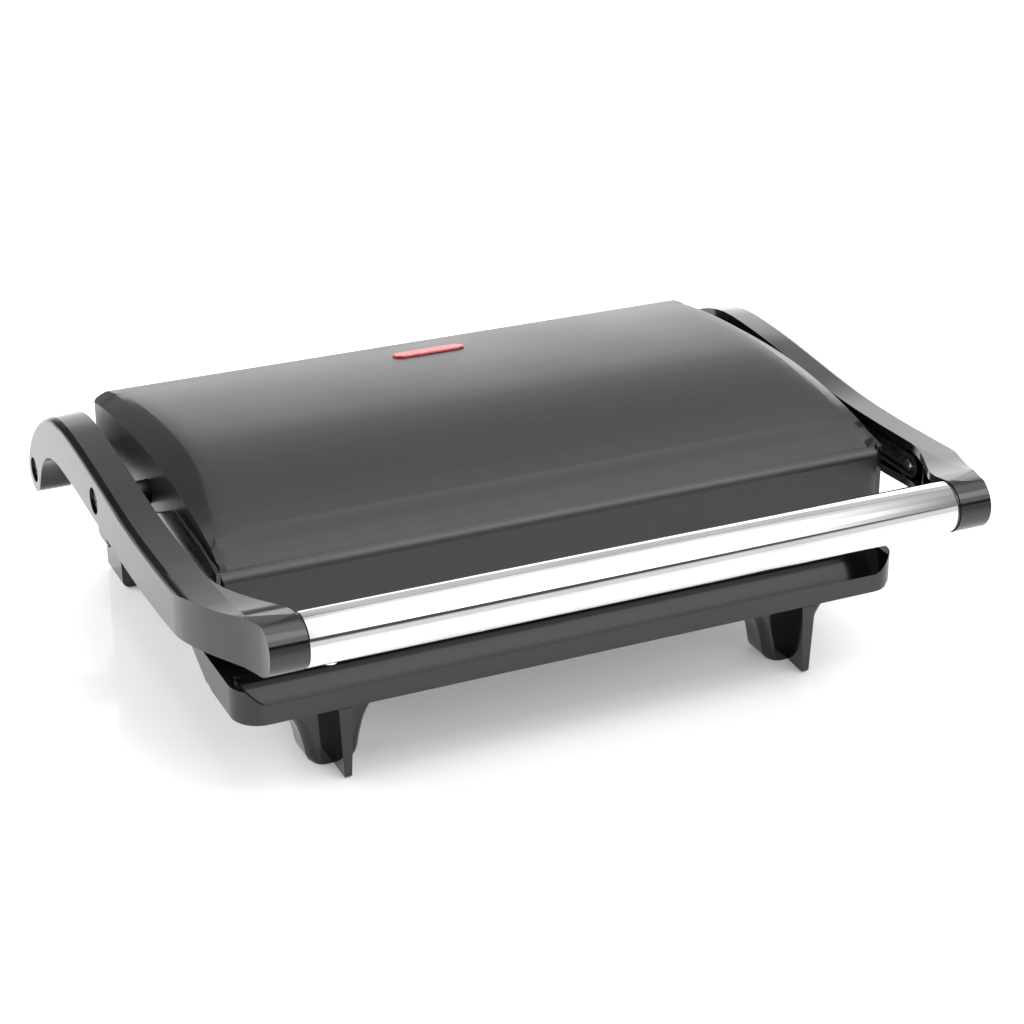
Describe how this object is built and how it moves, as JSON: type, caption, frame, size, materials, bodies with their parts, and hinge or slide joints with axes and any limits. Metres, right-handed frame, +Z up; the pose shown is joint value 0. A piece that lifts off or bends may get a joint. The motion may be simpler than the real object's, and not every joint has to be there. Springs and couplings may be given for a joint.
{
  "type": "panini press",
  "caption": "Contact grill with ribbed upper and lower plates: hook-shaped arms with a tube handle turn at the rear, and the arched lid floats between them.",
  "frame": {"origin": "on the worktop, in the middle of the footprint of the closed grill", "axes": "+X across the grill to its right, -Y to the front where the handle is, +Z up"},
  "size_m": [0.29, 0.2415, 0.0958],
  "materials": {
    "base_plastic": "semi-gloss",
    "arm_gloss_plastic": "gloss",
    "liner_plastic": "satin",
    "lid_plastic": "satin, fine grain",
    "coated_plate": "non-stick coating",
    "heater_steel": "dull",
    "reflector_sheet": "satin",
    "bracket_alloy": "cast",
    "chrome_tube": "polished",
    "screw_steel": "plain",
    "lens_red": "clear",
    "lamp_glass": "clear",
    "ceramic": "matt"
  },
  "bodies": {
    "base": {"base_tray": "base_plastic", "base_cover": "base_plastic", "base_screws": "screw_steel", "lower_plate": "coated_plate", "lower_plate_screws": "screw_steel", "lower_heater": "heater_steel", "lower_reflector": "reflector_sheet", "thermostat": "ceramic", "thermal_fuse": "heater_steel", "terminal_block": "ceramic", "cord_inlet": "base_plastic", "hinge_screw_left": "screw_steel", "hinge_screw_right": "screw_steel", "hinge_washers": "screw_steel"},
    "handle": {"arm_left": "arm_gloss_plastic", "arm_right": "arm_gloss_plastic", "arm_liner_left": "liner_plastic", "arm_liner_right": "liner_plastic", "liner_screws": "screw_steel", "handle_tube": "chrome_tube", "handle_rod": "heater_steel", "handle_screw": "screw_steel"},
    "lid": {"lid_cover": "lid_plastic", "lid_frame": "base_plastic", "lid_screws": "screw_steel", "upper_plate": "coated_plate", "upper_plate_screws": "screw_steel", "upper_heater": "heater_steel", "upper_reflector": "reflector_sheet", "upper_thermostat": "ceramic", "indicator_lens": "lens_red", "indicator_lamp": "lamp_glass", "lid_bracket_left": "bracket_alloy", "lid_bracket_right": "bracket_alloy", "lid_cheek_left": "arm_gloss_plastic", "lid_cheek_right": "arm_gloss_plastic", "lid_pivot_screw_left": "screw_steel", "lid_pivot_screw_right": "screw_steel", "lid_pivot_washers": "screw_steel"}
  },
  "joints": [
    {"name": "handle_hinge", "type": "hinge", "parent": "base", "child": "handle", "pos_m": [0, 0.1127, 0.05], "axis": [-1, 0, 0], "range_deg": [0, 100]},
    {"name": "lid_float", "type": "hinge", "parent": "handle", "child": "lid", "pos_m": [0, 0.0248, 0.0732], "axis": [-1, 0, 0], "range_deg": [-12, 0]}
  ],
  "couplings": [
    {"joint": "lid_float", "follows": "handle_hinge", "ratio": -0.12}
  ]
}
